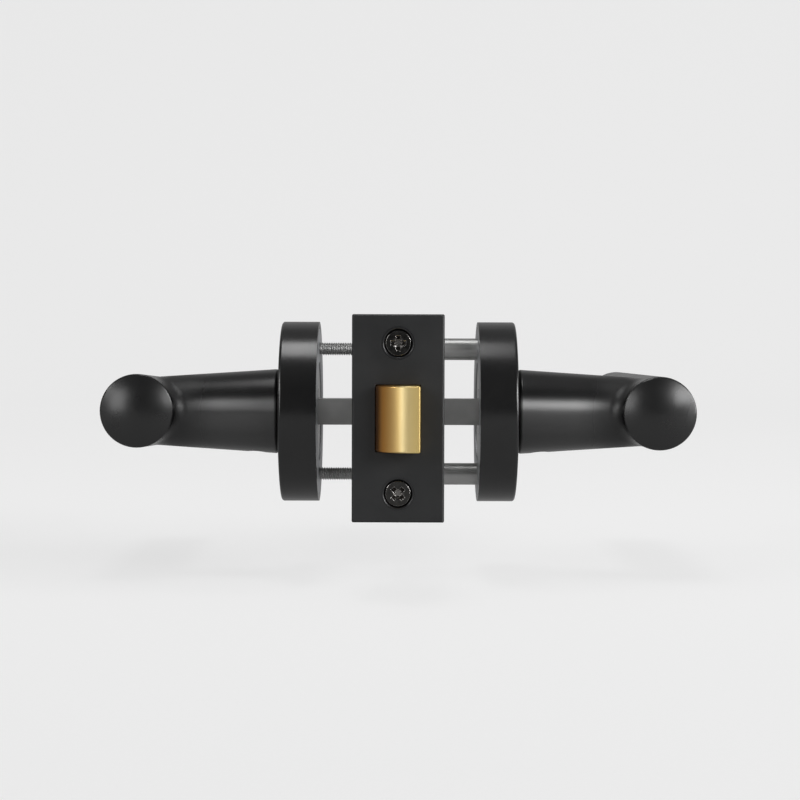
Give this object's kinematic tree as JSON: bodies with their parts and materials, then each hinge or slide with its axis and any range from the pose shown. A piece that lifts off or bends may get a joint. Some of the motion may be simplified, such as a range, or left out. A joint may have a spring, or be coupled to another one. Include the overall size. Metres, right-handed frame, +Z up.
{
  "type": "lever latch set",
  "caption": "Black lever latch set for a door: round-bar levers on round roses, a square spindle and a tubular spring latch with a bevelled brass bolt in a rectangular edge plate.",
  "frame": {"origin": "on the spindle axis, midway between the two door faces", "axes": "+X along the spindle towards the right-hand lever seen from the door edge, -Y towards the door edge and the bolt, +Y along the grips, +Z up"},
  "size_m": [0.178, 0.1764, 0.0572],
  "materials": {
    "black_coat": "satin",
    "plate_black": "matte",
    "screw_black": "glossy",
    "bush_plastic": "matte",
    "black_oxide": "satin",
    "zinc_casting": "satin",
    "plated_steel": "satin",
    "spring_steel": "satin",
    "bolt_brass": "satin"
  },
  "bodies": {
    "lock_body": {"rose_cover_left": "black_coat", "rose_cover_right": "black_coat", "rose_base_left": "zinc_casting", "rose_base_right": "zinc_casting", "bush_left": "bush_plastic", "bush_right": "bush_plastic", "return_spring_left": "spring_steel", "return_spring_right": "spring_steel", "tie_posts": "plated_steel", "tie_screws": "plated_steel", "faceplate": "plate_black", "faceplate_screws": "screw_black", "forend": "plated_steel", "latch_tube": "plated_steel", "tube_end_plate": "plated_steel", "case_plate_left": "plated_steel", "case_plate_right": "plated_steel", "case_rivet": "plated_steel", "latch_spring": "spring_steel"},
    "handles": {"lever_left": "black_coat", "lever_right": "black_coat", "grub_screw_left": "black_oxide", "grub_screw_right": "black_oxide", "retaining_ring_left": "spring_steel", "retaining_ring_right": "spring_steel", "drive_plate_left": "plated_steel", "drive_plate_right": "plated_steel", "spindle": "plated_steel", "follower": "zinc_casting"},
    "retractor": {"retractor": "plated_steel", "pull_strip": "plated_steel"},
    "latch_bolt": {"latch_bolt": "bolt_brass", "bolt_end_plate": "plated_steel"}
  },
  "joints": [
    {"name": "lever_turn", "type": "hinge", "parent": "lock_body", "child": "handles", "pos_m": [0, 0, 0], "axis": [-1, 0, 0], "range_deg": [0, 60], "stiffness_Nm_per_rad": 1.2, "springref_deg": -28.65, "deforming": ["return_spring_left", "return_spring_right"]},
    {"name": "retractor_slide", "type": "slide", "parent": "lock_body", "child": "retractor", "axis": [0, 1, 0], "range_m": [0, 0.0104]},
    {"name": "bolt_push", "type": "slide", "parent": "retractor", "child": "latch_bolt", "axis": [0, 1, 0], "range_m": [0, 0.0104], "stiffness_N_per_m": 400, "springref_m": -0.012, "deforming": ["latch_spring"]}
  ],
  "couplings": [
    {"joint": "retractor_slide", "follows": "lever_turn", "m_per_rad": 0.00993}
  ]
}
